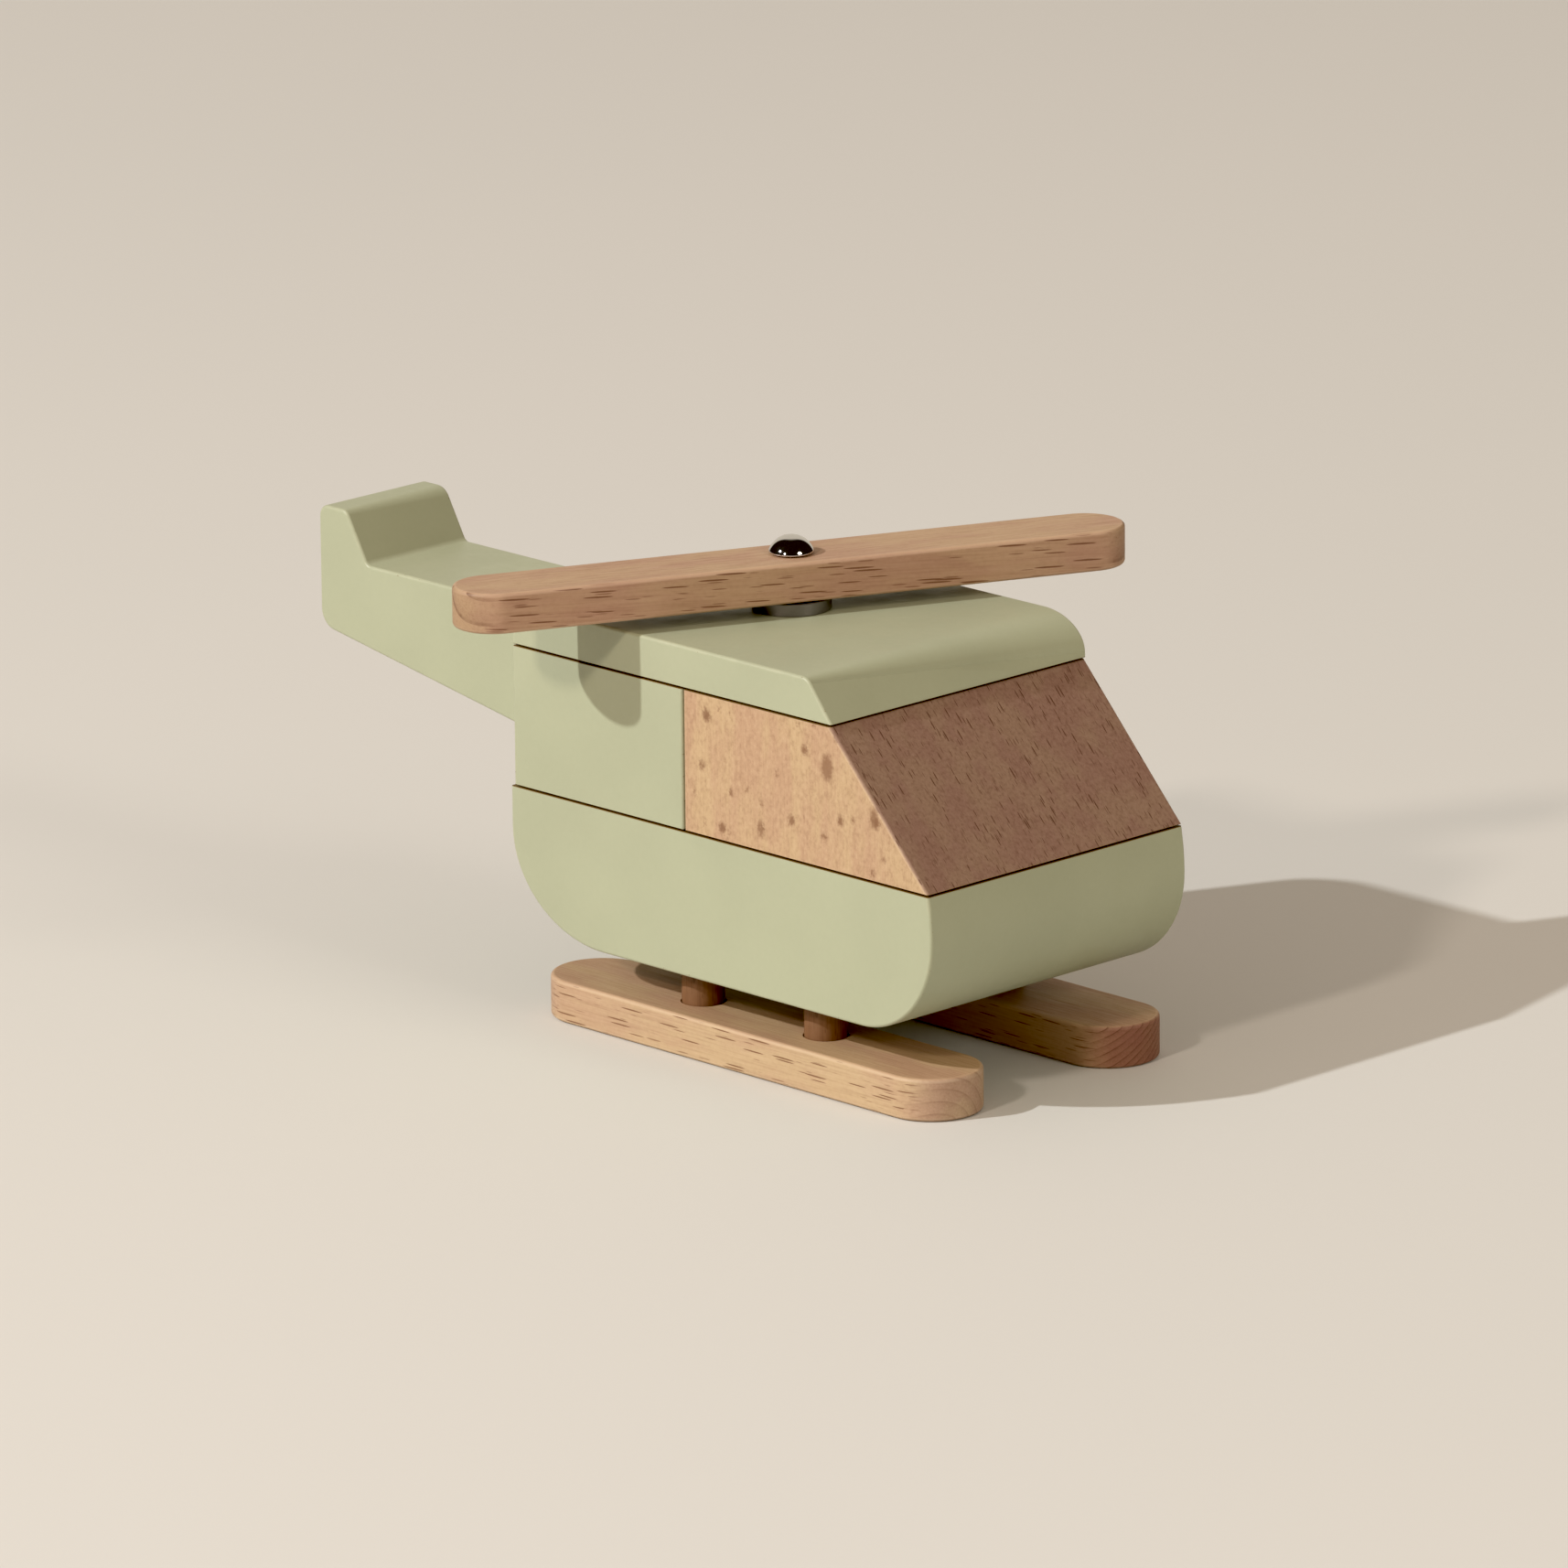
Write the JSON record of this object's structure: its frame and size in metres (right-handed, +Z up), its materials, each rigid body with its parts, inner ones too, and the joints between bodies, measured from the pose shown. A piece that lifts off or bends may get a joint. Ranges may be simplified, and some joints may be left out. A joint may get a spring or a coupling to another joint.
{
  "type": "toy helicopter",
  "caption": "Wooden toy helicopter: painted body blocks, natural beech cabin window, skids on dowel struts, fin-tipped tail boom and a bar rotor that spins on a domed pin.",
  "frame": {"origin": "under the middle of the bounding box at rest, level with the undersides of the skids", "axes": "+X towards the nose, +Y towards the helicopter's left side, +Z up along the rotor axis"},
  "size_m": [0.1828, 0.1214, 0.0923],
  "materials": {
    "sage_paint": "satin sage-green paint on beech, slightly thin on the eased edges",
    "natural_beech": "sanded beech, oiled matte",
    "axle_steel": "plain zinc-plated steel",
    "cap_chrome": "polished domed push-on cap"
  },
  "bodies": {
    "airframe": {"hull": "sage_paint", "rear_block": "sage_paint", "roof": "sage_paint", "tail": "sage_paint", "window_block": "natural_beech", "skid_left": "natural_beech", "skid_right": "natural_beech", "strut_front_left": "natural_beech", "strut_front_right": "natural_beech", "strut_rear_left": "natural_beech", "strut_rear_right": "natural_beech", "dowel_hull_rear_left": "natural_beech", "dowel_hull_rear_right": "natural_beech", "dowel_hull_window_left": "natural_beech", "dowel_hull_window_right": "natural_beech", "dowel_roof_rear_left": "natural_beech", "dowel_roof_rear_right": "natural_beech", "dowel_roof_window_left": "natural_beech", "dowel_roof_window_right": "natural_beech", "dowel_tail_lower": "natural_beech", "dowel_tail_upper": "natural_beech", "rotor_washer": "axle_steel"},
    "rotor": {"rotor_blade": "natural_beech", "rotor_axle": "axle_steel", "rotor_cap": "cap_chrome", "axle_clip": "axle_steel"}
  },
  "joints": [
    {"name": "rotor_spin", "type": "hinge", "parent": "airframe", "child": "rotor", "pos_m": [0.0228, 0, 0.085], "axis": [0, 0, 1], "continuous": true}
  ]
}
